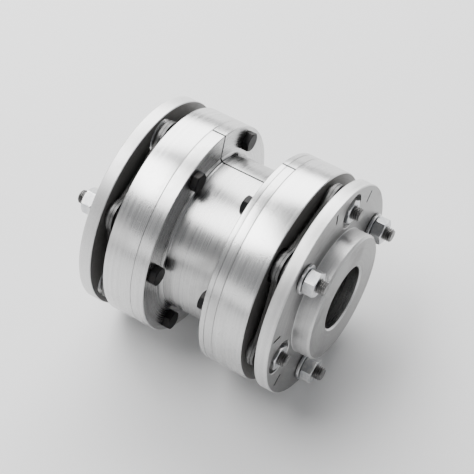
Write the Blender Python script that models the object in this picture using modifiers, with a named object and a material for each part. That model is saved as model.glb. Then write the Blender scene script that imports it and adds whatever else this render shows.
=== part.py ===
"""Double disc-pack shaft coupling with an axially split spacer.

The shaft axis is X and the origin is the middle of the coupling on that axis. Each side has a
bored hub, a stack of thin flexible discs and an adapter ring. Three disc bolts join the stack to
the hub and three more, in between, join it to the adapter ring. The two spacer halves are bolted
between the adapter rings and can be lifted out sideways without moving the shafts.
"""
import math

import bmesh
import bpy
from mathutils import Matrix

MM = 0.001
FIT_GAP = 0.3 * MM          # clearance between faces that touch on the bench

# Overall sizes.
FLANGE_RADIUS = 80.0 * MM   # spacer flanges, adapter rings and hub flanges share it
EDGE_CHAMFER = 0.6 * MM

# Stations along the shaft axis, measured from the middle of the coupling.
SPACER_FACE_X = 22.6 * MM
SPACER_END_X = 33.2 * MM
ADAPTER_END_X = 56.4 * MM
HUB_FLANGE_X = 67.0 * MM
HUB_FACE_X = 76.8 * MM
BOSS_END_X = 90.2 * MM
BARREL_END_X = 28.2 * MM

# Spacer tube and the register that centres it on the adapter rings.
TUBE_RADIUS = 59.0 * MM
TUBE_BORE_RADIUS = 52.0 * MM
TUBE_FILLET = 3.0 * MM
REGISTER_RADIUS = 54.0 * MM
REGISTER_DEPTH = 2.0 * MM
SPLIT_GAP = 1.2 * MM
SPLIT_ANGLE = 70.5          # degrees about +X, from +Y towards +Z

# Adapter rings.
ADAPTER_BORE_RADIUS = 48.5 * MM

# Hubs.
SHAFT_BORE_RADIUS = 24.0 * MM
BORE_CHAMFER = 1.2 * MM
BOSS_RADIUS = 47.5 * MM
BOSS_CHAMFER = 1.5 * MM
BARREL_RADIUS = 43.5 * MM
NUT_WINDOW_RADIUS = 13.0 * MM

# Disc stacks.
PACK_MID_X = 61.7 * MM
PACK_THICKNESS = 4.0 * MM
DISC_INNER_RADIUS = 50.0 * MM
DISC_WAIST_RADIUS = 64.5 * MM
DISC_LOBE_RADIUS = 13.5 * MM
DISC_LOBE_ANGLE = 66.0      # degrees of lobe edge on each side of its outermost point
COLLAR_RADIUS = 11.0 * MM

# Disc bolts, M10.
BOLT_COUNT = 6              # on each side
BOLT_PITCH = 360.0 / BOLT_COUNT
BOLT_CIRCLE_RADIUS = 63.5 * MM
BOLT_OFFSET = 8.3           # degrees between the spacer split and the nearest adapter bolt
THREAD_RADIUS = 5.0 * MM
HOLE_RADIUS = 5.4 * MM
HEAD_ACROSS_FLATS = 16.0 * MM
HEAD_HEIGHT = 6.4 * MM
NUT_ACROSS_FLATS = 17.0 * MM
NUT_HEIGHT = 8.4 * MM
WASHER_RADIUS = 10.75 * MM
WASHER_THICKNESS = 2.3 * MM
THREAD_SHOWING = 5.7 * MM
HEAD_POCKET_RADIUS = 12.5 * MM
HEAD_POCKET_DEPTH = 11.0 * MM
COUNTERBORE_RADIUS = 10.0 * MM
COUNTERBORE_DEPTH = 7.8 * MM

# Cap screws, M8.
SCREW_COUNT = 6             # on each side
SCREW_PITCH = 360.0 / SCREW_COUNT
SCREW_CIRCLE_RADIUS = 70.0 * MM
SCREW_RADIUS = 4.0 * MM
SCREW_HOLE_RADIUS = 4.5 * MM
SCREW_ACROSS_FLATS = 13.0 * MM
SCREW_HEAD_HEIGHT = 5.3 * MM
SCREW_LENGTH = 25.0 * MM
TAPPED_DEPTH = 17.0 * MM
SCREW_OFFSET = 30.0         # degrees between the spacer split and the nearest cap screw

RING_STEPS = 36
BOLT_STEPS = 12
HOLE_SIDES = 12
WINDOW_SIDES = 18
COLLAR_SIDES = 12
LOBE_STEPS = 4
FILLET_STEPS = 3
CUT_PAST = 1.0 * MM         # how far a cutter runs past the face it opens
FLAT_CORNER = 1.0 / math.cos(math.pi / 6.0)
TIP_CHAMFER = 0.9 * MM
SCREW_TURN = 7.0            # degrees from one screw head to the next, as tightening leaves them
NUT_TURN = 11.0
PRESS_DEPTH = 1.0 * MM      # how far a collar reaches into its discs

SIDES = {"left": -1, "right": 1}


def clear_scene():
    for old in list(bpy.data.objects):
        bpy.data.objects.remove(old, do_unlink=True)


def new_collection(name):
    group = bpy.data.collections.new(name)
    bpy.context.scene.collection.children.link(group)
    return group


def make_material(name, colour, roughness, metallic):
    made = bpy.data.materials.new(name)
    made.use_nodes = True
    shader = made.node_tree.nodes["Principled BSDF"]
    shader.inputs["Base Color"].default_value = (*colour, 1.0)
    shader.inputs["Roughness"].default_value = roughness
    shader.inputs["Metallic"].default_value = metallic
    return made


def add_object(name, mesh, group):
    made = bpy.data.objects.new(name, mesh)
    group.objects.link(made)
    return made


def finish_part(part, finish):
    """Gives a part its own copy of a finish, named for the part."""
    own = finish.copy()
    own.name = f"{part.name}_finish"
    part.data.materials.append(own)
    return part


def polar(radius, degrees):
    angle = math.radians(degrees)
    return radius * math.cos(angle), radius * math.sin(angle)


def arc(centre_x, centre_r, radius, start, end, steps):
    """Points of an arc in the profile plane, angles in degrees from +X towards +r."""
    points = []
    for i in range(steps + 1):
        dx, dr = polar(radius, start + (end - start) * i / steps)
        points.append((centre_x + dx, centre_r + dr))
    return points


def turned(name, profile, side, steps=RING_STEPS):
    """Turns a profile of (x, radius) points about the shaft axis.

    Profiles are written for the right-hand side, outer side running towards +X; the points are
    then taken in the order that keeps the surface facing outwards on either side. A profile that
    starts on the axis ends on it too, and any other one is closed back to its first point.
    """
    points = [(side * x, r) for x, r in profile][::-side]
    mesh = bpy.data.meshes.new(name)
    edges = [(i, i + 1) for i in range(len(points) - 1)]
    if points[0][1] > 0.0:
        edges.append((len(points) - 1, 0))
    mesh.from_pydata([(x, r, 0.0) for x, r in points], edges, [])
    made = add_object(name, mesh, parts)
    screw = made.modifiers.new("Turn", "SCREW")
    screw.axis = "X"
    screw.steps = steps
    screw.render_steps = steps
    screw.use_merge_vertices = True
    screw.merge_threshold = 0.00001
    screw.use_smooth_shade = True
    return made


def add_rod(mesh, start_x, end_x, radius, centre, sides, turn=0.0):
    """Adds a closed prism along the shaft axis to a bmesh."""
    place = Matrix.Translation(((start_x + end_x) / 2.0, centre[0], centre[1]))
    along_axis = Matrix.Rotation(math.radians(turn), 4, "X") @ Matrix.Rotation(math.pi / 2.0, 4, "Y")
    bmesh.ops.create_cone(
        mesh,
        cap_ends=True,
        segments=sides,
        radius1=radius,
        radius2=radius,
        depth=abs(end_x - start_x),
        matrix=place @ along_axis,
    )


def cutter_from(name, mesh_builder):
    """Makes a hidden wire object from a bmesh and frees the bmesh."""
    mesh = bpy.data.meshes.new(name)
    mesh_builder.to_mesh(mesh)
    mesh_builder.free()
    made = add_object(name, mesh, cutters)
    made.hide_render = True
    made.display_type = "WIRE"
    return made


def apply_boolean(part, tool, operation):
    step = part.modifiers.new(operation.title(), "BOOLEAN")
    step.operation = operation
    step.object = tool
    return part


def bolt_angles(side, on_hub):
    """Angles of three disc bolts: hub and adapter bolts take turns round the circle."""
    first = SPLIT_ANGLE - side * BOLT_OFFSET + (BOLT_PITCH if on_hub else 0.0)
    return [first + 2.0 * BOLT_PITCH * i for i in range(BOLT_COUNT // 2)]


def screw_angles():
    return [SPLIT_ANGLE + SCREW_OFFSET + SCREW_PITCH * i for i in range(SCREW_COUNT)]


def hub(side_name, side, finish):
    profile = [
        (BARREL_END_X, SHAFT_BORE_RADIUS + BORE_CHAMFER),
        (BARREL_END_X, BARREL_RADIUS - BOSS_CHAMFER),
        (BARREL_END_X + BOSS_CHAMFER, BARREL_RADIUS),
        (HUB_FLANGE_X, BARREL_RADIUS),
        (HUB_FLANGE_X, FLANGE_RADIUS - EDGE_CHAMFER),
        (HUB_FLANGE_X + EDGE_CHAMFER, FLANGE_RADIUS),
        (HUB_FACE_X - EDGE_CHAMFER, FLANGE_RADIUS),
        (HUB_FACE_X, FLANGE_RADIUS - EDGE_CHAMFER),
        (HUB_FACE_X, BOSS_RADIUS),
        (BOSS_END_X - BOSS_CHAMFER, BOSS_RADIUS),
        (BOSS_END_X, BOSS_RADIUS - BOSS_CHAMFER),
        (BOSS_END_X, SHAFT_BORE_RADIUS + BORE_CHAMFER),
        (BOSS_END_X - BORE_CHAMFER, SHAFT_BORE_RADIUS),
        (BARREL_END_X + BORE_CHAMFER, SHAFT_BORE_RADIUS),
    ]
    made = turned(f"{side_name}_hub", profile, side)
    holes = bmesh.new()
    start = side * (HUB_FLANGE_X - CUT_PAST)
    end = side * (HUB_FACE_X + CUT_PAST)
    for angle in bolt_angles(side, on_hub=True):
        add_rod(holes, start, end, HOLE_RADIUS, polar(BOLT_CIRCLE_RADIUS, angle), HOLE_SIDES)
    for angle in bolt_angles(side, on_hub=False):
        centre = polar(BOLT_CIRCLE_RADIUS, angle)
        add_rod(holes, start, end, NUT_WINDOW_RADIUS, centre, WINDOW_SIDES)
    apply_boolean(made, cutter_from(f"{side_name}_hub_holes", holes), "DIFFERENCE")
    return finish_part(made, finish)


def adapter_ring(side_name, side, finish):
    start = SPACER_END_X + FIT_GAP
    register = REGISTER_RADIUS - FIT_GAP
    profile = [
        (start - REGISTER_DEPTH, ADAPTER_BORE_RADIUS),
        (start - REGISTER_DEPTH, register),
        (start, register),
        (start, FLANGE_RADIUS - EDGE_CHAMFER),
        (start + EDGE_CHAMFER, FLANGE_RADIUS),
        (ADAPTER_END_X - EDGE_CHAMFER, FLANGE_RADIUS),
        (ADAPTER_END_X, FLANGE_RADIUS - EDGE_CHAMFER),
        (ADAPTER_END_X, ADAPTER_BORE_RADIUS),
    ]
    made = turned(f"{side_name}_adapter_ring", profile, side)
    holes = bmesh.new()
    inner = side * (start - CUT_PAST)
    tap_end = side * (start + TAPPED_DEPTH)
    for angle in screw_angles():
        centre = polar(SCREW_CIRCLE_RADIUS, angle)
        add_rod(holes, inner, tap_end, SCREW_RADIUS + FIT_GAP, centre, HOLE_SIDES)
    outer = side * (ADAPTER_END_X + CUT_PAST)
    pocket = side * (ADAPTER_END_X - HEAD_POCKET_DEPTH)
    for angle in bolt_angles(side, on_hub=True):
        centre = polar(BOLT_CIRCLE_RADIUS, angle)
        add_rod(holes, pocket, outer, HEAD_POCKET_RADIUS, centre, WINDOW_SIDES)
    apply_boolean(made, cutter_from(f"{side_name}_adapter_holes", holes), "DIFFERENCE")
    through = bmesh.new()
    counterbores = bmesh.new()
    for angle in bolt_angles(side, on_hub=False):
        centre = polar(BOLT_CIRCLE_RADIUS, angle)
        add_rod(through, side * start, outer, HOLE_RADIUS, centre, HOLE_SIDES)
        floor = side * (start + COUNTERBORE_DEPTH)
        add_rod(counterbores, inner, floor, COUNTERBORE_RADIUS, centre, WINDOW_SIDES)
    apply_boolean(made, cutter_from(f"{side_name}_adapter_counterbores", counterbores), "DIFFERENCE")
    apply_boolean(made, cutter_from(f"{side_name}_adapter_bolt_holes", through), "DIFFERENCE")
    return finish_part(made, finish)


def spacer_profile():
    """Outline of the spacer: a tube with a flange at each end, filleted into the tube."""
    fillet_x = SPACER_FACE_X - TUBE_FILLET
    fillet_r = TUBE_RADIUS + TUBE_FILLET
    seat = SPACER_END_X - REGISTER_DEPTH - FIT_GAP
    right_inner = [(seat, TUBE_BORE_RADIUS), (seat, REGISTER_RADIUS), (SPACER_END_X, REGISTER_RADIUS)]
    right_rim = [
        (SPACER_END_X, FLANGE_RADIUS - EDGE_CHAMFER),
        (SPACER_END_X - EDGE_CHAMFER, FLANGE_RADIUS),
        (SPACER_FACE_X + EDGE_CHAMFER, FLANGE_RADIUS),
        (SPACER_FACE_X, FLANGE_RADIUS - EDGE_CHAMFER),
    ]
    right = right_inner + right_rim + arc(fillet_x, fillet_r, TUBE_FILLET, 0.0, -90.0, FILLET_STEPS)
    left = [(-x, r) for x, r in reversed(right)]
    return (right + left)[::-1]


def spacer_half(name, facing, finish):
    """Keeps the half of the spacer on one side of the split plane."""
    made = turned(name, spacer_profile(), 1)
    keep = bmesh.new()
    box_size = 4.0 * FLANGE_RADIUS
    bmesh.ops.create_cube(keep, size=box_size)
    shift = facing * (box_size / 2.0 + SPLIT_GAP / 2.0)
    tilt = Matrix.Rotation(math.radians(SPLIT_ANGLE), 4, "X")
    bmesh.ops.transform(keep, matrix=tilt @ Matrix.Translation((0.0, 0.0, shift)), verts=keep.verts)
    apply_boolean(made, cutter_from(f"{name}_keep", keep), "INTERSECT")
    holes = bmesh.new()
    for angle in screw_angles():
        centre = polar(SCREW_CIRCLE_RADIUS, angle)
        for side in SIDES.values():
            start = side * (SPACER_FACE_X - CUT_PAST)
            end = side * (SPACER_END_X + CUT_PAST)
            add_rod(holes, start, end, SCREW_HOLE_RADIUS, centre, HOLE_SIDES)
    apply_boolean(made, cutter_from(f"{name}_holes", holes), "DIFFERENCE")
    return finish_part(made, finish)


def disc_outline(side):
    """Scalloped outer edge of a disc: a round lobe at each bolt, waisted in between."""
    points = []
    first = SPLIT_ANGLE - side * BOLT_OFFSET
    for i in range(BOLT_COUNT):
        middle = first + BOLT_PITCH * i
        cy, cz = polar(BOLT_CIRCLE_RADIUS, middle)
        for j in range(LOBE_STEPS + 1):
            swing = DISC_LOBE_ANGLE * (2.0 * j / LOBE_STEPS - 1.0)
            dy, dz = polar(DISC_LOBE_RADIUS, middle + swing)
            points.append((cy + dy, cz + dz))
        points.append(polar(DISC_WAIST_RADIUS, middle + BOLT_PITCH / 2.0))
    return points


def disc_stack(name, side, inboard, finish):
    """Half of a disc pack, with the collars pressed on its outer face at the six bolts."""
    half = PACK_THICKNESS / 2.0
    if inboard:
        start, end = PACK_MID_X - half, PACK_MID_X - FIT_GAP / 2.0
        collar = (ADAPTER_END_X + FIT_GAP, start + PRESS_DEPTH)
    else:
        start, end = PACK_MID_X + FIT_GAP / 2.0, PACK_MID_X + half
        collar = (end - PRESS_DEPTH, HUB_FLANGE_X - FIT_GAP)
    sheet = bmesh.new()
    corners = [sheet.verts.new((side * start, y, z)) for y, z in disc_outline(side)]
    face = sheet.faces.new(corners)
    pushed = bmesh.ops.extrude_face_region(sheet, geom=[face])
    top = [v for v in pushed["geom"] if isinstance(v, bmesh.types.BMVert)]
    bmesh.ops.translate(sheet, vec=(side * (end - start), 0.0, 0.0), verts=top)
    bmesh.ops.recalc_face_normals(sheet, faces=sheet.faces)
    mesh = bpy.data.meshes.new(name)
    sheet.to_mesh(mesh)
    sheet.free()
    made = add_object(name, mesh, parts)
    collars = bmesh.new()
    holes = bmesh.new()
    reach = (side * (ADAPTER_END_X - CUT_PAST), side * (HUB_FLANGE_X + CUT_PAST))
    for angle in bolt_angles(side, on_hub=True) + bolt_angles(side, on_hub=False):
        centre = polar(BOLT_CIRCLE_RADIUS, angle)
        add_rod(collars, side * collar[0], side * collar[1], COLLAR_RADIUS, centre, COLLAR_SIDES)
        add_rod(holes, *reach, HOLE_RADIUS, centre, HOLE_SIDES)
    add_rod(holes, *reach, DISC_INNER_RADIUS, (0.0, 0.0), RING_STEPS)
    apply_boolean(made, cutter_from(f"{name}_collars", collars), "UNION")
    apply_boolean(made, cutter_from(f"{name}_holes", holes), "DIFFERENCE")
    return finish_part(made, finish)


def place_on_circle(made, radius, degrees):
    y, z = polar(radius, degrees)
    made.location = (0.0, y, z)
    return made


def hexagon(name, side, start_x, end_x, across_flats, turn, owner=None):
    """A hexagon prism on the shaft axis, as a tool that moves with its owner."""
    prism = bmesh.new()
    radius = across_flats / 2.0 * FLAT_CORNER
    add_rod(prism, side * start_x, side * end_x, radius, (0.0, 0.0), 6, turn)
    tool = cutter_from(name, prism)
    tool.parent = owner
    return tool


def hex_bolt(name, side, seat_x, tip_x, size, turn, finish):
    """A hexagon-head bolt: its head stands inboard of seat_x and its shank runs to tip_x.

    Its size is the shank's radius, the head's height and the head's width across flats.
    """
    radius, head_height, across_flats = size
    root = seat_x - head_height / 2.0
    profile = [
        (root, 0.0),
        (root, radius),
        (tip_x - TIP_CHAMFER, radius),
        (tip_x, radius - TIP_CHAMFER),
        (tip_x, 0.0),
    ]
    made = turned(name, profile, side, BOLT_STEPS)
    head = hexagon(f"{name}_head", side, seat_x - head_height, seat_x, across_flats, turn, made)
    apply_boolean(made, head, "UNION")
    return finish_part(made, finish)


def hex_nut(name, side, seat_x, turn, finish):
    end_x = seat_x + NUT_HEIGHT
    bore = THREAD_RADIUS + FIT_GAP
    nut = bmesh.new()
    radius = NUT_ACROSS_FLATS / 2.0 * FLAT_CORNER
    add_rod(nut, side * seat_x, side * end_x, radius, (0.0, 0.0), 6, turn)
    mesh = bpy.data.meshes.new(name)
    nut.to_mesh(mesh)
    nut.free()
    made = add_object(name, mesh, parts)
    drill = bmesh.new()
    past = (side * (seat_x - CUT_PAST), side * (end_x + CUT_PAST))
    add_rod(drill, *past, bore, (0.0, 0.0), HOLE_SIDES)
    tool = cutter_from(f"{name}_thread", drill)
    tool.parent = made
    apply_boolean(made, tool, "DIFFERENCE")
    return finish_part(made, finish)


def washer(name, side, seat_x, finish):
    bore = THREAD_RADIUS + FIT_GAP
    end_x = seat_x + WASHER_THICKNESS
    profile = [(seat_x, bore), (seat_x, WASHER_RADIUS), (end_x, WASHER_RADIUS), (end_x, bore)]
    return finish_part(turned(name, profile, side, BOLT_STEPS), finish)


def disc_bolt_set(side_name, side, on_hub, bolt_finish, nut_finish):
    """Three disc bolts with their washers and nuts, clamped to the hub or to the adapter ring."""
    owner = "hub" if on_hub else "adapter"
    if on_hub:
        head_seat = ADAPTER_END_X
        washer_seat = HUB_FACE_X + FIT_GAP
    else:
        head_seat = SPACER_END_X + COUNTERBORE_DEPTH
        washer_seat = HUB_FLANGE_X
    nut_seat = washer_seat + WASHER_THICKNESS + FIT_GAP
    tip = nut_seat + NUT_HEIGHT + THREAD_SHOWING
    size = (THREAD_RADIUS, HEAD_HEIGHT, HEAD_ACROSS_FLATS)
    for i, angle in enumerate(bolt_angles(side, on_hub), start=1):
        turn = angle + NUT_TURN * i
        made = [
            hex_bolt(f"{side_name}_{owner}_bolt_{i}", side, head_seat, tip, size, turn, bolt_finish),
            washer(f"{side_name}_{owner}_washer_{i}", side, washer_seat, nut_finish),
            hex_nut(f"{side_name}_{owner}_nut_{i}", side, nut_seat, turn, nut_finish),
        ]
        for piece in made:
            place_on_circle(piece, BOLT_CIRCLE_RADIUS, angle)


def cap_screws(side_name, side, finish):
    """Six screws from inside the spacer, through its flange and into the adapter ring."""
    seat = SPACER_FACE_X - FIT_GAP
    size = (SCREW_RADIUS, SCREW_HEAD_HEIGHT, SCREW_ACROSS_FLATS)
    for i, angle in enumerate(screw_angles(), start=1):
        name = f"{side_name}_cap_screw_{i}"
        tip = seat + SCREW_LENGTH
        made = hex_bolt(name, side, seat, tip, size, angle + SCREW_TURN * i, finish)
        place_on_circle(made, SCREW_CIRCLE_RADIUS, angle)


def build():
    machined = make_material("machined_steel", (0.62, 0.62, 0.61), 0.32, 1.0)
    disc_steel = make_material("disc_steel", (0.45, 0.45, 0.44), 0.28, 1.0)
    bolt_steel = make_material("bolt_steel", (0.22, 0.22, 0.22), 0.36, 1.0)
    zinc = make_material("zinc_plate", (0.66, 0.66, 0.65), 0.24, 1.0)
    black_oxide = make_material("black_oxide", (0.02, 0.02, 0.022), 0.42, 0.6)
    spacer_half("spacer_front_half", 1, machined)
    spacer_half("spacer_rear_half", -1, machined)
    for side_name, side in SIDES.items():
        hub(side_name, side, machined)
        adapter_ring(side_name, side, machined)
        disc_stack(f"{side_name}_discs_inboard", side, True, disc_steel)
        disc_stack(f"{side_name}_discs_outboard", side, False, disc_steel)
        disc_bolt_set(side_name, side, True, bolt_steel, zinc)
        disc_bolt_set(side_name, side, False, bolt_steel, zinc)
        cap_screws(side_name, side, black_oxide)


clear_scene()
parts = new_collection("split_spacer_disc_coupling")
cutters = new_collection("cutters")
build()
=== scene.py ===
import math

import bmesh
import bpy
from mathutils import Matrix, Vector


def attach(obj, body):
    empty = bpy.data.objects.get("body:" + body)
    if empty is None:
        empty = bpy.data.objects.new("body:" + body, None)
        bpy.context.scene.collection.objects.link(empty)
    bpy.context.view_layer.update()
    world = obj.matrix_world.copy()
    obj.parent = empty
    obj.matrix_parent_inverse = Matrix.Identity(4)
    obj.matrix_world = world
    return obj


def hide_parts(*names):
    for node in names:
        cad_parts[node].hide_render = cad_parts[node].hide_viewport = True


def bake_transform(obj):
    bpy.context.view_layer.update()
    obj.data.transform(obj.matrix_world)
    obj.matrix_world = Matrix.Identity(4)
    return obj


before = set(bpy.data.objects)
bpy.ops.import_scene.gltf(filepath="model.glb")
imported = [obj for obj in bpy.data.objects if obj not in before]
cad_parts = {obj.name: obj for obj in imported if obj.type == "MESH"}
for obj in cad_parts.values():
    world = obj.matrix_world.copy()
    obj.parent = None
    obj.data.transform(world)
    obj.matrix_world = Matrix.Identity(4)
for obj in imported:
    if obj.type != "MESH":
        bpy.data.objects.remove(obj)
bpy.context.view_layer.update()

mm = 0.001
sides = {"left": -1, "right": 1}

# sizes that several pieces share; each piece's own sizes are beside its code, in mm
splitAngle = 70.5      # degrees about +X, from +Y towards +Z
boltOffset = 8.3       # degrees from the split to the nearest adapter bolt
boltPitch = 60.0       # degrees from one disc bolt to the next, hub and adapter bolts taking turns
screwPitch = 60.0
boltCircle = 63.5 * mm
screwCircle = 70.0 * mm
rim = 80.0             # outside radius of the hub flanges, adapter rings and spacer flanges
packFaces = (56.4, 67.0)   # the faces of adapter ring and hub that look at the disc pack

fineParts = bpy.data.collections.new("fine_parts")
bpy.context.scene.collection.children.link(fineParts)


def onCircle(radius, degrees):
    angle = math.radians(degrees)
    return Vector((0.0, radius * math.cos(angle), radius * math.sin(angle)))


def boltAngles(side, onHub):
    first = splitAngle - side * boltOffset + (boltPitch if onHub else 0.0)
    return [first + 2.0 * boltPitch * i for i in range(3)]


def screwAngles():
    return [splitAngle + screwPitch * (i + 0.5) for i in range(6)]


# corners are (x, radius, rounding) in mm; each rounded one becomes a short arc
def softProfile(corners, arcSteps=4):
    points = []
    for i, (x, r, rounding) in enumerate(corners):
        here = Vector((x, r))
        if rounding == 0.0:
            points.append(here * mm)
            continue
        toBefore = (Vector(corners[i - 1][:2]) - here).normalized()
        toAfter = (Vector(corners[(i + 1) % len(corners)][:2]) - here).normalized()
        half = toBefore.angle(toAfter) / 2.0
        centre = here + (toBefore + toAfter).normalized() * (rounding / math.sin(half))
        start = here + toBefore * (rounding / math.tan(half)) - centre
        end = here + toAfter * (rounding / math.tan(half)) - centre
        first = math.atan2(start.y, start.x)
        sweep = (math.atan2(end.y, end.x) - first + math.pi) % (2.0 * math.pi) - math.pi
        for step in range(arcSteps + 1):
            angle = first + sweep * step / arcSteps
            spoke = Vector((math.cos(angle), math.sin(angle))) * rounding
            points.append((centre + spoke) * mm)
    return points


# turns a profile about the X axis into an existing or a new bmesh
def turn(points, steps, side=1, centre=(0.0, 0.0, 0.0), closed=True, made=None):
    made = made or bmesh.new()
    rings = []
    for x, r in points:
        count = steps if r > 1e-9 else 1
        ring = []
        for k in range(count):
            spot = onCircle(r, 360.0 * k / steps) + Vector((side * x, 0.0, 0.0)) + Vector(centre)
            ring.append(made.verts.new(spot))
        rings.append(ring)
    followers = rings[1:] + (rings[:1] if closed else [])
    for a, b in zip(rings, followers):
        for k in range(steps):
            n = (k + 1) % steps
            loop = [a[k % len(a)], a[n % len(a)], b[n % len(b)], b[k % len(b)]]
            corners = list(dict.fromkeys(loop))
            if len(corners) > 2:
                made.faces.new(corners)
    bmesh.ops.recalc_face_normals(made, faces=made.faces)
    return made


def pieceFrom(name, made):
    mesh = bpy.data.meshes.new(name)
    made.to_mesh(mesh)
    made.free()
    piece = bpy.data.objects.new(name, mesh)
    fineParts.objects.link(piece)
    return piece


# bakes one boolean into the piece and drops the tool
def combine(piece, tool, operation):
    step = piece.modifiers.new("combine", "BOOLEAN")
    step.operation = operation
    step.object = tool
    seen = piece.evaluated_get(bpy.context.evaluated_depsgraph_get())
    mesh = bpy.data.meshes.new_from_object(seen)
    piece.modifiers.clear()
    piece.data = mesh
    bpy.data.objects.remove(tool, do_unlink=True)


def smoothRound(piece, degrees=28.0):
    piece.data.shade_smooth()
    piece.data.set_sharp_from_angle(angle=math.radians(degrees))
    return piece


def copyTo(piece, name, matrix):
    made = bpy.data.objects.new(name, piece.data)
    made.matrix_world = matrix
    fineParts.objects.link(made)
    return made


# a drill whose mouth opens at 45 degrees where it meets each listed face
def drillProfile(start, end, radius, mouths, bevel):
    past = 1.5
    outline = [(start - past, 0.0)]
    low = radius + (bevel + past if start in mouths else 0.0)
    outline.append((start - past, low))
    if start in mouths:
        outline.append((start + bevel, radius))
    if end in mouths:
        outline.append((end - bevel, radius))
        outline.append((end + past, radius + bevel + past))
    else:
        outline.append((end, radius))
    outline.append((outline[-1][0], 0.0))
    return [Vector(p) * mm for p in outline]


class Signal:
    def __init__(self, net, socket):
        self.net = net
        self.socket = socket

    def maths(self, operation, a, b):
        return self.net.node("ShaderNodeMath", {"operation": operation}, {0: a, 1: b}).out(0)

    def __add__(self, other):
        return self.maths("ADD", self, other)

    def __radd__(self, other):
        return self.maths("ADD", other, self)

    def __sub__(self, other):
        return self.maths("SUBTRACT", self, other)

    def __rsub__(self, other):
        return self.maths("SUBTRACT", other, self)

    def __mul__(self, other):
        return self.maths("MULTIPLY", self, other)

    def __rmul__(self, other):
        return self.maths("MULTIPLY", other, self)

    def __pow__(self, other):
        return self.maths("POWER", self, other)

    # 0 below low, 1 above high, smooth between
    def ramp(self, low, high):
        settings = {"interpolation_type": "SMOOTHSTEP"}
        links = {"Value": self, "From Min": low, "From Max": high}
        return self.net.node("ShaderNodeMapRange", settings, links).out("Result")


class Placed:
    def __init__(self, net, made):
        self.net = net
        self.made = made

    def out(self, key):
        return Signal(self.net, self.made.outputs[key])


class Net:
    def __init__(self, name):
        self.material = bpy.data.materials.new(name)
        self.material.use_nodes = True
        self.tree = self.material.node_tree
        self.surface = self.tree.nodes["Principled BSDF"]

    def fill(self, made, links):
        for key, value in links.items():
            if isinstance(value, Signal):
                self.tree.links.new(value.socket, made.inputs[key])
            else:
                made.inputs[key].default_value = value

    def node(self, kind, settings, links):
        made = self.tree.nodes.new(kind)
        for key, value in settings.items():
            setattr(made, key, value)
        self.fill(made, links)
        return Placed(self, made)

    def place(self):
        return self.node("ShaderNodeTexCoord", {}, {}).out("Object")

    def axes(self, vector):
        split = self.node("ShaderNodeSeparateXYZ", {}, {"Vector": vector})
        return split.out("X"), split.out("Y"), split.out("Z")

    def vector(self, x, y, z):
        return self.node("ShaderNodeCombineXYZ", {}, {"X": x, "Y": y, "Z": z}).out("Vector")

    def noise(self, vector, scale, detail=3.0, roughness=0.5):
        links = {"Vector": vector, "Scale": scale, "Detail": detail, "Roughness": roughness}
        return self.node("ShaderNodeTexNoise", {}, links).out("Fac")

    # noise along one line, for marks that repeat all round a turned face
    def rings(self, distance, scale, detail=2.0):
        settings = {"noise_dimensions": "1D"}
        links = {"W": distance, "Scale": scale, "Detail": detail}
        return self.node("ShaderNodeTexNoise", settings, links).out("Fac")

    def mix(self, mask, first, second):
        settings = {"data_type": "RGBA"}
        made = self.node("ShaderNodeMix", settings, {})
        self.fill(made.made, {0: mask, 6: first, 7: second})
        return made.out(2)

    def bump(self, height, distance, strength=1.0, below=None):
        links = {"Height": height, "Distance": distance, "Strength": strength}
        if below:
            links["Normal"] = below
        return self.node("ShaderNodeBump", {}, links).out("Normal")

    def finish(self, links):
        self.fill(self.surface, links)
        return self.material


def gray(value, warmth=0.0):
    return (value * (1.0 + warmth), value, value * (1.0 - warmth), 1.0)


# steel turned on a lathe: rings of tool marks, a few hazy patches, fine handling scratches
def turnedSteel(name, look, metal=1.0):
    net = Net(name)
    place = net.place()
    x, y, z = net.axes(place)
    radius = (y * y + z * z) ** 0.5
    path = x + radius
    fine = net.rings(path, 1.0 / look["feed"], 1.0)
    broad = net.rings(path, 0.11 / look["feed"], 3.0)
    haze = net.noise(place, 26.0, 4.0, 0.6)
    specks = net.noise(place, 900.0, 2.0, 0.7)
    stretched = net.vector(x * 90.0, y * 900.0, z * 90.0)
    scratch = net.noise(stretched, 1.0, 2.0, 0.6).ramp(0.70, 0.74)
    stain = haze.ramp(0.50, 0.72)
    mask = (broad * 0.35 + fine * 0.30 + specks * 0.35).ramp(0.20, 0.80)
    colour = net.mix(mask, look["low"], look["high"])
    colour = net.mix(stain * look["stain"], colour, look["dull"])
    rough = look["rough"] + (broad - 0.5) * 0.08 + (fine - 0.5) * 0.08 + stain * 0.07 + scratch * 0.08
    normal = net.bump(fine, look["feed"] * mm * look["depth"])
    normal = net.bump(specks + scratch * -0.6, look["grain"] * mm, 0.5, normal)
    return net.finish({"Base Color": colour, "Roughness": rough, "Normal": normal, "Metallic": metal})


# rolled stainless sheet: straight fine lines and faint water marks
def sheetSteel(name, tone, waistShade):
    net = Net(name)
    place = net.place()
    x, y, z = net.axes(place)
    lines = net.noise(net.vector(x * 3000.0, y * 2600.0, z * 60.0), 1.0, 2.0, 0.6)
    haze = net.noise(place, 60.0, 3.0, 0.6)
    # the waists between the bolts, deep in the gap, get painted shade, and the lobes stay lighter
    lobes = ((y * y + z * z) ** 0.5).ramp(0.067, 0.073)
    colour = net.mix(lines.ramp(0.3, 0.7), gray(tone * 0.75), gray(tone * 1.25, 0.01))
    colour = net.mix(haze.ramp(0.55, 0.8) * 0.4, colour, gray(tone * 0.55, 0.03))
    colour = net.mix((1 - lobes) * waistShade, colour, gray(0.07, 0.04))
    rough = 0.34 + lines * 0.16 + haze * 0.08
    normal = net.bump(lines, 0.01 * mm, 0.6)
    return net.finish({"Base Color": colour, "Roughness": rough, "Normal": normal, "Metallic": 1.0})


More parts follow.
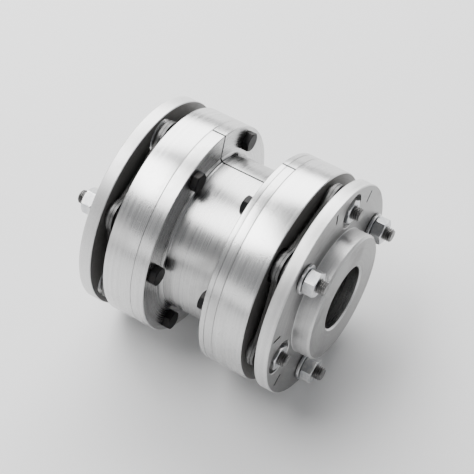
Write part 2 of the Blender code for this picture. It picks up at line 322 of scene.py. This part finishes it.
# bright zinc plate: a cool clear coat over rolled and pressed steel, cloudy close up
def zincPlate(name):
    net = Net(name)
    place = net.place()
    cloud = net.noise(place, 170.0, 4.0, 0.65)
    grain = net.noise(place, 1900.0, 2.0, 0.6)
    pits = net.noise(place, 1300.0, 1.0, 0.5).ramp(0.68, 0.78)
    colour = net.mix(cloud.ramp(0.35, 0.7), (0.50, 0.51, 0.53, 1.0), (0.70, 0.70, 0.69, 1.0))
    colour = net.mix(pits * 0.5, colour, gray(0.22, 0.04))
    rough = 0.22 + cloud * 0.16 + grain * 0.06 + pits * 0.2
    normal = net.bump(grain * 0.4 - pits, 0.02 * mm, 0.6)
    return net.finish({"Base Color": colour, "Roughness": rough, "Normal": normal, "Metallic": 1.0})


# high-tensile bolts left in their own dark colour, with an oily bloom
def boltSteelDark(name):
    net = Net(name)
    place = net.place()
    cloud = net.noise(place, 190.0, 4.0, 0.6)
    grain = net.noise(place, 1700.0, 3.0, 0.6)
    rub = net.noise(place, 620.0, 4.0, 0.7).ramp(0.58, 0.72)
    colour = net.mix(cloud.ramp(0.35, 0.7), gray(0.13, 0.02), gray(0.24, 0.01))
    colour = net.mix(rub * 0.5, colour, gray(0.42))
    rough = 0.30 + cloud * 0.14 + grain * 0.08
    normal = net.bump(grain, 0.02 * mm, 0.6)
    return net.finish({"Base Color": colour, "Roughness": rough, "Normal": normal, "Metallic": 1.0})


# black oxide: near black, slightly brown where handled, with steel showing in the scuffs
def blackOxide(name):
    net = Net(name)
    place = net.place()
    cloud = net.noise(place, 210.0, 4.0, 0.6)
    grain = net.noise(place, 1500.0, 3.0, 0.6)
    scuff = net.noise(place, 480.0, 5.0, 0.75).ramp(0.62, 0.72)
    colour = net.mix(cloud.ramp(0.4, 0.7), (0.004, 0.004, 0.005, 1.0), (0.014, 0.012, 0.011, 1.0))
    colour = net.mix(scuff * 0.4, colour, gray(0.08))
    rough = 0.42 + cloud * 0.14 + grain * 0.08 - scuff * 0.06
    metal = 0.60 + scuff * 0.35
    normal = net.bump(grain, 0.03 * mm, 0.6)
    return net.finish({"Base Color": colour, "Roughness": rough, "Normal": normal, "Metallic": metal})


hubSteel = turnedSteel("hub_turned_steel", {
    "feed": 0.32 * mm,
    "depth": 0.12,
    "low": gray(0.54),
    "high": gray(0.76, 0.006),
    "dull": gray(0.42, 0.02),
    "stain": 0.30,
    "rough": 0.45,
    "grain": 0.030,
})
# a darker copy of the hub steel for the flange face and the boss face: painted shade, as these faces
# look towards the shadowed floor
faceShadeSteel = turnedSteel("hub_face_painted_shade_steel", {
    "feed": 0.36 * mm,
    "depth": 0.08,
    "low": gray(0.21),
    "high": gray(0.35, 0.006),
    "dull": gray(0.15, 0.02),
    "stain": 0.45,
    "rough": 0.40,
    "grain": 0.030,
})
adapterSteel = turnedSteel("adapter_turned_steel", {
    "feed": 0.24 * mm,
    "depth": 0.06,
    "low": gray(0.50),
    "high": gray(0.68, 0.004),
    "dull": gray(0.45, 0.015),
    "stain": 0.30,
    "rough": 0.26,
    "grain": 0.012,
})
spacerSteel = turnedSteel("spacer_turned_steel", {
    "feed": 0.26 * mm,
    "depth": 0.06,
    "low": gray(0.46),
    "high": gray(0.64, 0.004),
    "dull": gray(0.44, 0.015),
    "stain": 0.30,
    "rough": 0.27,
    "grain": 0.012,
})
# darker turned steel: painted shade for the tube between the spacer flanges and for the inside of the
# bore
shadedTurnedSteel = turnedSteel("painted_shade_turned_steel", {
    "feed": 0.34 * mm,
    "depth": 0.07,
    "low": gray(0.34),
    "high": gray(0.52, 0.006),
    "dull": gray(0.28, 0.015),
    "stain": 0.55,
    "rough": 0.28,
    "grain": 0.014,
})
# painted shade for the faces beside the disc packs, deep in the gaps: dark, half-metallic steel
pocketShadeSteel = turnedSteel("painted_shade_pocket_steel", {
    "feed": 0.32 * mm,
    "depth": 0.035,
    "low": gray(0.14, 0.02),
    "high": gray(0.28, 0.02),
    "dull": gray(0.08, 0.04),
    "stain": 0.5,
    "rough": 0.46,
    "grain": 0.030,
}, 0.5)
# painted shade: near-black steel for the faces inside the split between the spacer halves and inside
# the engraved index marks
gapShadeSteel = turnedSteel("painted_shade_gap_steel", {
    "feed": 0.32 * mm,
    "depth": 0.035,
    "low": gray(0.03, 0.02),
    "high": gray(0.06, 0.02),
    "dull": gray(0.02, 0.04),
    "stain": 0.5,
    "rough": 0.50,
    "grain": 0.030,
})
# the last number is how much painted shade darkens the waists
discSteel = sheetSteel("rolled_disc_steel", 0.15, 0.70)
collarSteel = sheetSteel("collar_steel", 0.11, 0.4)
zinc = zincPlate("bright_zinc")
boltSteel = boltSteelDark("dark_bolt_steel")
oxide = blackOxide("black_oxide_steel")
print("materials ready")


def handOver(piece, material, body, slot, *nodes):
    piece.data.materials.clear()
    piece.data.materials.append(material)
    if body:
        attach(piece, body)
    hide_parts(*nodes)


# gives the faces that chosen picks out another steel
def dressFaces(piece, steel, chosen):
    piece.data.materials.append(steel)
    for face in piece.data.polygons:
        if chosen(face):
            face.material_index = len(piece.data.materials) - 1


# the two faces beside a disc pack, deep in the gap, get painted shade: a darker, half-metallic steel
def inPocket(face):
    low, high = packFaces
    between = (low - 0.1) * mm < abs(face.center.x) < (high + 0.1) * mm
    return between and abs(face.normal.x) > 0.9


def makeHub(sideName, side):
    hub = {
        "inner": packFaces[1],
        "face": 76.8,
        "bossEnd": 90.2,
        "barrelEnd": 28.2,
        "bore": 24.0,
        "boreChamfer": 1.2,
        "boss": 47.5,
        "bossChamfer": 1.5,
        "barrel": 43.5,
        "window": 12.8,
        "hole": 5.3,
        "mark": (1.10, 9.0, 1.75),     # depth both ways, length, width
        "markReach": 71.4,
        "markSwing": 21.7,             # degrees from the middle of its window
    }
    mouth = hub["bore"] + hub["boreChamfer"]
    outline = softProfile([
        (hub["barrelEnd"], mouth, 0.15),
        (hub["barrelEnd"], hub["barrel"] - hub["bossChamfer"], 0.3),
        (hub["barrelEnd"] + hub["bossChamfer"], hub["barrel"], 0.3),
        (hub["inner"], hub["barrel"], 0.8),
        (hub["inner"], rim - 0.5, 0.15),
        (hub["inner"] + 0.5, rim, 0.15),
        (hub["face"] - 0.6, rim, 0.2),
        (hub["face"], rim - 0.6, 0.2),
        (hub["face"], hub["boss"], 0.5),
        (hub["bossEnd"] - hub["bossChamfer"], hub["boss"], 0.25),
        (hub["bossEnd"], hub["boss"] - hub["bossChamfer"], 0.25),
        (hub["bossEnd"], mouth, 0.15),
        (hub["bossEnd"] - hub["boreChamfer"], hub["bore"], 0.15),
        (hub["barrelEnd"] + hub["boreChamfer"], hub["bore"], 0.15),
    ])
    made = pieceFrom(f"{sideName}_hub_turned", turn(outline, 288, side))
    drills = bmesh.new()
    faces = (hub["inner"], hub["face"])
    small = drillProfile(*faces, hub["hole"], faces, 0.3)
    wide = drillProfile(*faces, hub["window"], faces, 0.35)
    for angle in boltAngles(side, True):
        turn(small, 48, side, onCircle(boltCircle, angle), False, drills)
    for angle in boltAngles(side, False):
        turn(wide, 96, side, onCircle(boltCircle, angle), False, drills)
    combine(made, pieceFrom("hub_drills", drills), "DIFFERENCE")
    # short engraved index lines, one on each side of every window
    marks = bmesh.new()
    size = Matrix.Diagonal((*(v * mm for v in hub["mark"]), 1.0))
    for angle in boltAngles(side, False):
        for swing in (-hub["markSwing"], hub["markSwing"]):
            spot = onCircle(hub["markReach"] * mm, angle + swing)
            spot.x = side * hub["face"] * mm
            tilt = Matrix.Rotation(math.radians(angle + swing), 4, "X")
            bmesh.ops.create_cube(marks, size=1.0, matrix=Matrix.Translation(spot) @ tilt @ size)
    combine(made, pieceFrom("hub_marks", marks), "DIFFERENCE")
    smoothRound(made)
    handOver(made, hubSteel, f"{sideName}_hub_group", "hub_steel", f"{sideName}_hub")

    def inMark(face):
        depth = hub["face"] * mm - abs(face.center.x)
        offReach = abs(face.center.yz.length - hub["markReach"] * mm)
        turned = math.degrees(math.atan2(face.center.z, face.center.y)) - boltAngles(side, False)[0]
        fromWindow = abs((turned + boltPitch) % (2.0 * boltPitch) - boltPitch)
        offSwing = abs(fromWindow - hub["markSwing"])
        return 0.05 * mm < depth < 0.80 * mm and offReach < 5.4 * mm and offSwing < 1.0

    def isFaced(face):
        return abs(face.center.x) > (hub["face"] - 0.1) * mm and abs(face.normal.x) > 0.9

    def inBore(face):
        return face.center.yz.length < (hub["bore"] + 0.5) * mm

    # painted shade on the hub's flat faces
    dressFaces(made, faceShadeSteel, isFaced)
    # painted shade inside the bore
    dressFaces(made, shadedTurnedSteel, inBore)
    # painted shade on the faces beside the disc pack
    dressFaces(made, pocketShadeSteel, inPocket)
    # painted shade inside the engraved index marks
    dressFaces(made, gapShadeSteel, inMark)


def makeAdapter(sideName, side):
    ring = {
        "start": 33.36,
        "end": packFaces[0],
        "bore": 48.5,
        "register": 53.7,
        "step": 2.0,
        "pocketFloor": 45.4,
        "pocket": 12.4,
    }
    outline = softProfile([
        (ring["start"] - ring["step"], ring["bore"], 0.2),
        (ring["start"] - ring["step"], ring["register"], 0.2),
        (ring["start"], ring["register"], 0.2),
        (ring["start"], rim - 0.22, 0.06),
        (ring["start"] + 0.22, rim, 0.06),
        (ring["end"] - 0.6, rim, 0.2),
        (ring["end"], rim - 0.6, 0.2),
        (ring["end"], ring["bore"], 0.3),
    ])
    made = pieceFrom(f"{sideName}_adapter_turned", turn(outline, 288, side))
    drills = bmesh.new()
    pocket = drillProfile(ring["pocketFloor"], ring["end"], ring["pocket"], (ring["end"],), 0.35)
    pocket[0].x = ring["pocketFloor"] * mm
    pocket[1].x = ring["pocketFloor"] * mm
    for angle in boltAngles(side, True):
        turn(pocket, 96, side, onCircle(boltCircle, angle), False, drills)
    combine(made, pieceFrom("adapter_drills", drills), "DIFFERENCE")
    smoothRound(made)
    handOver(made, adapterSteel, "spacer", "adapter_steel", f"{sideName}_adapter_ring")
    # painted shade on the face beside the disc pack
    dressFaces(made, pocketShadeSteel, inPocket)


def makeSpacerHalf(name, facing, node):
    spacer = {
        "face": 22.6,
        "end": 33.2,
        "tube": 59.0,
        "bore": 52.0,
        "fillet": 3.0,
        "seat": 30.9,
        "register": 54.0,
        "gap": 0.80,           # from the split plane to each half
        "groove": 26.8,
    }
    rightSide = [
        (spacer["seat"], spacer["bore"], 0.2),
        (spacer["seat"], spacer["register"], 0.2),
        (spacer["end"], spacer["register"], 0.2),
        (spacer["end"], rim - 0.22, 0.06),
        (spacer["end"] - 0.22, rim, 0.06),
    ]
    # a witness groove runs round the right flange only
    groove = [
        (spacer["groove"] + 0.3, rim, 0.04),
        (spacer["groove"] + 0.15, rim - 0.5, 0.04),
        (spacer["groove"] - 0.15, rim - 0.5, 0.04),
        (spacer["groove"] - 0.3, rim, 0.04),
    ]
    inner = [
        (spacer["face"] + 0.5, rim, 0.15),
        (spacer["face"], rim - 0.5, 0.15),
        (spacer["face"], spacer["tube"], spacer["fillet"]),
    ]
    leftSide = [(-x, r, soft) for x, r, soft in reversed(rightSide + inner)]
    outline = softProfile(rightSide + groove + inner + leftSide, 6)
    made = pieceFrom(name, turn(outline, 288))
    keep = bmesh.new()
    size = 5.0 * rim * mm
    bmesh.ops.create_cube(keep, size=size)
    shift = Matrix.Translation((0.0, 0.0, facing * (size / 2.0 + spacer["gap"] * mm)))
    tilt = Matrix.Rotation(math.radians(splitAngle), 4, "X")
    bmesh.ops.transform(keep, matrix=tilt @ shift, verts=keep.verts)
    combine(made, pieceFrom("spacer_keep", keep), "INTERSECT")
    smoothRound(made)
    handOver(made, spacerSteel, "spacer", "spacer_steel", node)
    across = onCircle(-facing, splitAngle + 90.0)

    def inSplit(face):
        return face.normal.dot(across) > 0.99 and abs(face.center.dot(across)) < mm

    def onTube(face):
        tubeTop = (spacer["tube"] + spacer["fillet"] + 0.5) * mm
        return abs(face.center.x) < (spacer["face"] - 0.6) * mm and face.center.yz.length < tubeTop

    # painted shade on the tube between the flanges
    dressFaces(made, shadedTurnedSteel, onTube)
    # painted shade on the faces inside the split
    dressFaces(made, gapShadeSteel, inSplit)


def circlePoints(centre, radius, count, degrees=0.0):
    around = [degrees + 360.0 * k / count for k in range(count)]
    return [centre + onCircle(radius, a) for a in around]


def discEdge(side):
    disc = {"lobe": 13.5 * mm, "swing": 66.0, "waist": 64.4 * mm, "arcSteps": 14, "dipSteps": 12}
    points = []
    first = splitAngle - side * boltOffset
    for i in range(6):
        middle = first + boltPitch * i
        centre = onCircle(boltCircle, middle)
        for j in range(disc["arcSteps"] + 1):
            swing = disc["swing"] * (2.0 * j / disc["arcSteps"] - 1.0)
            points.append(centre + onCircle(disc["lobe"], middle + swing))
        start = points[-1]
        ahead = middle + boltPitch
        end = onCircle(boltCircle, ahead) + onCircle(disc["lobe"], ahead - disc["swing"])
        dip = onCircle(disc["waist"], middle + boltPitch / 2.0) * 2.0 - (start + end) / 2.0
        for j in range(1, disc["dipSteps"]):
            t = j / disc["dipSteps"]
            points.append(start * (1.0 - t) ** 2 + dip * 2.0 * t * (1.0 - t) + end * t ** 2)
    return points


# one thin disc: a filled flat outline with its holes, given half its thickness each way
def discMesh(side, thickness):
    disc = {"bore": 50.0 * mm, "boreSteps": 144, "hole": 5.3 * mm, "holeSteps": 20}
    outline = bpy.data.curves.new("disc_outline", "CURVE")
    outline.dimensions = "2D"
    outline.fill_mode = "BOTH"
    outline.extrude = thickness / 2.0
    loops = [discEdge(side), circlePoints(Vector(), disc["bore"], disc["boreSteps"])]
    for angle in boltAngles(side, True) + boltAngles(side, False):
        loops.append(circlePoints(onCircle(boltCircle, angle), disc["hole"], disc["holeSteps"]))
    for loop in loops:
        spline = outline.splines.new("POLY")
        spline.points.add(len(loop) - 1)
        for dot, spot in zip(spline.points, loop):
            dot.co = (spot.y, spot.z, 0.0, 1.0)
        spline.use_cyclic_u = True
    holder = bpy.data.objects.new("disc_outline", outline)
    fineParts.objects.link(holder)
    seen = holder.evaluated_get(bpy.context.evaluated_depsgraph_get())
    mesh = bpy.data.meshes.new_from_object(seen)
    bpy.data.objects.remove(holder, do_unlink=True)
    return mesh


def makeDiscStack(sideName, side, inboard):
    stack = {
        "sheet": 0.30 * mm,
        "pitch": 0.37 * mm,
        "count": 5,
        "depth": 1.8,     # all five discs together, in mm
        "start": 59.7 if inboard else 61.85,
        "low": 56.7 if inboard else 63.72,
        "high": 59.68 if inboard else 66.7,
        "collar": 10.9,
        "hole": 5.3,
    }
    start, low, high = stack["start"], stack["low"], stack["high"]
    word = "inboard" if inboard else "outboard"
    sheet = discMesh(side, stack["sheet"])
    made = bmesh.new()
    # the flat outline lies in XY, so it is stood up: its X becomes Y and its Y becomes Z
    stand = Matrix(((0, 0, 1, 0), (1, 0, 0, 0), (0, 1, 0, 0), (0, 0, 0, 1)))
    for k in range(stack["count"]):
        before = len(made.verts)
        made.from_mesh(sheet)
        made.verts.ensure_lookup_table()
        x = side * (start * mm + stack["sheet"] / 2.0 + stack["pitch"] * k)
        shift = Matrix.Translation((x, 0.0, 0.0))
        bmesh.ops.transform(made, matrix=shift @ stand, verts=made.verts[before:])
    bmesh.ops.remove_doubles(made, verts=made.verts, dist=0.000001)
    sheetFaces = len(made.faces)
    collar = softProfile([
        (low, stack["hole"], 0.2),
        (low, stack["collar"], 0.45),
        (high, stack["collar"], 0.45),
        (high, stack["hole"], 0.2),
    ])
    for angle in boltAngles(side, True) + boltAngles(side, False):
        turn(collar, 64, side, onCircle(boltCircle, angle), True, made)
    piece = pieceFrom(f"{sideName}_{word}_laminations", made)
    smoothRound(piece)
    handOver(piece, discSteel, None, "disc_steel", f"{sideName}_discs_{word}")
    dressFaces(piece, collarSteel, lambda face: face.index >= sheetFaces)
    # the outer ends of the stack, on the faces that it is clamped to; nothing below uses them
    if inboard:
        reach = (low, start + stack["depth"])
    else:
        reach = (start, high)
    ends = [(side * x * mm, 0.0, 0.0) for x in reach]
    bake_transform(piece)


# a hexagon prism trimmed by a turned form, which leaves the curved corner chamfers
def hexForm(name, low, high, flats, chamferAt, drill=None):
    edge = {"drop": 0.95, "flat": 0.965, "past": 0.35, "spare": 1.0, "rounding": 0.35}
    corner = flats / 2.0 / math.cos(math.pi / 6.0)
    flatRadius = flats / 2.0 * edge["flat"]
    pastCorner = corner + edge["past"]
    profile = [(low, 0.0, 0.0)]
    if low in chamferAt:
        profile += [(low, flatRadius, 0.0), (low + edge["drop"], pastCorner, 0.0)]
    else:
        profile.append((low, corner + edge["spare"], 0.0))
    if high in chamferAt:
        profile += [(high - edge["drop"], pastCorner, 0.0), (high, flatRadius, 0.0)]
    else:
        profile.append((high, corner + edge["spare"], 0.0))
    profile.append((high, 0.0, 0.0))
    form = pieceFrom(name, turn(softProfile(profile), 120, 1, closed=False))
    prism = bmesh.new()
    soft = softHexagon(flats, edge["rounding"])
    layers = []
    for x in (low - edge["spare"], high + edge["spare"]):
        layers.append([prism.verts.new((x * mm, p.y * mm, p.z * mm)) for p in soft])
    prism.faces.new(layers[0])
    prism.faces.new(layers[1])
    for k in range(len(soft)):
        n = (k + 1) % len(soft)
        prism.faces.new((layers[0][k], layers[0][n], layers[1][n], layers[1][k]))
    bmesh.ops.recalc_face_normals(prism, faces=prism.faces)
    combine(form, pieceFrom("hexagon", prism), "INTERSECT")
    if drill:
        combine(form, pieceFrom("drill", turn(drill, 96, 1, closed=False)), "DIFFERENCE")
    return smoothRound(form, 20.0)


# hexagon outline in mm with a small rounding at each corner
def softHexagon(flats, rounding):
    corner = flats / 2.0 / math.cos(math.pi / 6.0)
    points = []
    for k in range(6):
        inner = onCircle(corner - rounding / math.cos(math.pi / 6.0), 60.0 * k)
        for step in range(5):
            points.append(inner + onCircle(rounding, 60.0 * k - 30.0 + 15.0 * step))
    return points


# a threaded stud end: the crest follows a helix and fades into the end chamfer
def threadedEnd(name, low, high):
    thread = {"radius": 5.0, "pitch": 1.5, "crest": 0.06, "flank": 0.36, "depth": 0.82, "turnRows": 14}
    end = {"chamfer": 1.0, "slope": 0.95, "inset": 0.92, "dish": 0.4, "sunk": 0.12 * mm}
    steps = 72
    rows = int((high - low) / thread["pitch"] * thread["turnRows"])
    made = bmesh.new()
    rings = []
    for i in range(rows + 1):
        x = low + (high - low) * i / rows
        limit = thread["radius"] - max(0.0, x - (high - end["chamfer"])) * end["slope"]
        ring = []
        for k in range(steps):
            phase = (x / thread["pitch"] - k / steps) % 1.0
            flank = (abs(phase - 0.5) - thread["crest"]) / thread["flank"]
            depth = max(0.0, min(1.0, flank)) * thread["depth"]
            r = min(thread["radius"] - depth, limit)
            ring.append(made.verts.new(onCircle(r * mm, 360.0 * k / steps) + Vector((x * mm, 0, 0))))
        rings.append(ring)
    for a, b in zip(rings, rings[1:]):
        for k in range(steps):
            n = (k + 1) % steps
            made.faces.new((a[k], a[n], b[n], b[k]))
    made.faces.new(rings[0])

    def shrunk(x, scale):
        return [made.verts.new(Vector((x, v.co.y * scale, v.co.z * scale))) for v in rings[-1]]

    # a slightly dished end, as left by the parting tool
    inset = shrunk(high * mm, end["inset"])
    dish = shrunk(high * mm - end["sunk"], end["dish"])
    for a, b in ((rings[-1], inset), (inset, dish)):
        for k in range(steps):
            n = (k + 1) % steps
            made.faces.new((a[k], a[n], b[n], b[k]))
    made.faces.new(dish)
    bmesh.ops.recalc_face_normals(made, faces=made.faces)
    return smoothRound(pieceFrom(name, made), 35.0)


def joinInto(first, others):
    made = bmesh.new()
    made.from_mesh(first.data)
    for other in others:
        made.from_mesh(other.data)
        bpy.data.objects.remove(other, do_unlink=True)
    made.to_mesh(first.data)
    made.free()
    return first


# moves a pattern modelled on the axis to its place in the coupling, facing outwards
def seat(side, angle, radius, spin):
    face = Matrix.Identity(4) if side > 0 else Matrix.Rotation(math.pi, 4, "Z")
    spot = onCircle(radius, angle)
    turnAbout = Matrix.Rotation(math.radians(spin), 4, "X")
    return Matrix.Translation(spot) @ turnAbout @ face


def makeFasteners():
    washerFit = {"hole": 5.3, "rim": 10.7, "thick": 2.3}
    nutFit = {"gap": 0.3, "high": 8.4, "flats": 17.0, "bore": 4.75, "mouth": 0.75}
    boltFit = {"showing": 5.7, "threadIn": 2.0, "shank": 4.95, "head": 6.4, "flats": 16.0, "spin": 11.0}
    places = {
        True: {"seat": 77.1, "head": 56.4},     # clamped to the hub
        False: {"seat": 67.0, "head": 41.3},    # clamped to the adapter ring
    }
    patterns = {}
    for onHub in (True, False):
        low = places[onHub]["seat"]
        headTop = places[onHub]["head"]
        washer = pieceFrom("washer_pattern", turn(softProfile([
            (low, washerFit["hole"], 0.15),
            (low, washerFit["rim"], 0.45),
            (low + washerFit["thick"], washerFit["rim"], 0.45),
            (low + washerFit["thick"], washerFit["hole"], 0.15),
        ]), 96))
        smoothRound(washer)
        nutLow = low + washerFit["thick"] + nutFit["gap"]
        nutHigh = nutLow + nutFit["high"]
        mouth = drillProfile(nutLow, nutHigh, nutFit["bore"], (nutLow, nutHigh), nutFit["mouth"])
        nut = hexForm("nut_pattern", nutLow, nutHigh, nutFit["flats"], (nutLow, nutHigh), mouth)
        threadLow = nutHigh - boltFit["threadIn"]
        stud = threadedEnd("stud_pattern", threadLow, nutHigh + boltFit["showing"])
        headLow = headTop - boltFit["head"]
        head = hexForm("head_pattern", headLow, headTop, boltFit["flats"], (headLow,))
        shank = pieceFrom("shank_pattern", turn(softProfile([
            (headTop, 0.0, 0.0),
            (headTop, boltFit["shank"], 0.0),
            (threadLow, boltFit["shank"], 0.0),
            (threadLow, 0.0, 0.0),
        ]), 48, closed=False))
        smoothRound(shank)
        bolt = joinInto(stud, [head, shank])
        patterns[onHub] = (bolt, washer, nut)
    for sideName, side in sides.items():
        for onHub in (True, False):
            owner = "hub" if onHub else "adapter"
            body = f"{sideName}_hub_group" if onHub else "spacer"
            for i, angle in enumerate(boltAngles(side, onHub), start=1):
                spin = angle + boltFit["spin"] * i
                for word, pattern in zip(("bolt", "washer", "nut"), patterns[onHub]):
                    name = f"{sideName}_{owner}_{word}_{i}"
                    spot = seat(side, angle, boltCircle, spin)
                    piece = copyTo(pattern, f"fine_{name}", spot)
                    if word == "bolt":
                        handOver(piece, boltSteel, body, "bolt_steel", name)
                    else:
                        handOver(piece, zinc, body, "zinc_plate", name)
    for bolt, washer, nut in patterns.values():
        for pattern in (bolt, washer, nut):
            bpy.data.objects.remove(pattern, do_unlink=True)


def makeCapScrews():
    screw = {"seat": 22.3, "head": 5.3, "flats": 13.0, "spin": 7.0}
    foot = {"above": 0.5, "below": 0.3, "radius": 6.0}    # the round collar under the head
    top = screw["seat"] - screw["head"]
    pattern = hexForm("screw_head", top, screw["seat"], screw["flats"], (top,))
    low, high = screw["seat"] - foot["above"], screw["seat"] + foot["below"]
    collar = pieceFrom("screw_collar", turn(softProfile([
        (low, 0.0, 0.0),
        (low, foot["radius"], 0.0),
        (high, foot["radius"], 0.0),
        (high, 0.0, 0.0),
    ]), 96, closed=False))
    smoothRound(collar)
    joinInto(pattern, [collar])
    for sideName, side in sides.items():
        for i, angle in enumerate(screwAngles(), start=1):
            name = f"{sideName}_cap_screw_{i}"
            spot = seat(side, angle, screwCircle, angle + screw["spin"] * i)
            piece = copyTo(pattern, f"fine_{name}", spot)
            handOver(piece, oxide, "spacer", "black_oxide", name)
    bpy.data.objects.remove(pattern, do_unlink=True)


for sideName, side in sides.items():
    makeHub(sideName, side)
    makeAdapter(sideName, side)
    makeDiscStack(sideName, side, True)
    makeDiscStack(sideName, side, False)
    print(f"{sideName} hub, adapter ring and disc pack made")
makeSpacerHalf("front_spacer_turned", 1, "spacer_front_half")
makeSpacerHalf("rear_spacer_turned", -1, "spacer_rear_half")
print("split spacer made")
makeFasteners()
makeCapScrews()
print("fasteners made")


def makeFloor():
    floor = bmesh.new()
    bmesh.ops.create_grid(floor, x_segments=2, y_segments=2, size=6.0)
    piece = pieceFrom("studio_floor", floor)
    piece.location.z = -rim * mm - 0.0002    # just under the rims, so that no faces share a plane
    net = Net("studio_paper")
    tone = net.noise(net.place(), 3.0, 2.0, 0.5)
    colour = net.mix(tone, (0.78, 0.78, 0.78, 1.0), (0.84, 0.84, 0.84, 1.0))
    piece.data.materials.append(net.finish({"Base Color": colour, "Roughness": 0.75}))


def makeLight(name, direction, distance, size, power):
    light = bpy.data.lights.new(name, "AREA")
    light.shape = "RECTANGLE"
    light.size = size[0]
    light.size_y = size[1]
    light.energy = power
    holder = bpy.data.objects.new(name, light)
    holder.location = Vector(direction).normalized() * distance
    holder.rotation_euler = (-Vector(direction)).to_track_quat("-Z", "Y").to_euler()
    bpy.context.scene.collection.objects.link(holder)


def makeCamera():
    camera = bpy.data.cameras.new("studio_camera")
    camera.lens = 120.54
    camera.sensor_width = 36.0
    camera.dof.use_dof = False
    holder = bpy.data.objects.new("studio_camera", camera)
    holder.location = (0.3615, -0.5703, 0.9003)
    looking = Vector((-0.3206, 0.5106, -0.7978))
    holder.rotation_euler = looking.to_track_quat("-Z", "Y").to_euler()
    bpy.context.scene.collection.objects.link(holder)
    bpy.context.scene.camera = holder


def makeWorld():
    world = bpy.data.worlds.new("studio_world")
    world.use_nodes = True
    backdrop = world.node_tree.nodes["Background"]
    backdrop.inputs["Color"].default_value = (0.80, 0.81, 0.83, 1.0)
    backdrop.inputs["Strength"].default_value = 0.44
    bpy.context.scene.world = world


makeFloor()
makeLight("back_panel", (-0.52, 0.66, 0.60), 1.9, (2.4, 1.5), 98.0)
makeLight("top_panel", (-0.40, -0.16, 0.90), 1.8, (1.2, 0.7), 32.0)
makeLight("front_panel", (-0.34, -0.92, 0.22), 1.9, (1.6, 0.5), 5.0)
makeLight("side_panel", (0.9, 0.5, 0.35), 2.0, (1.2, 1.0), 2.0)
makeWorld()
makeCamera()
print("studio ready")
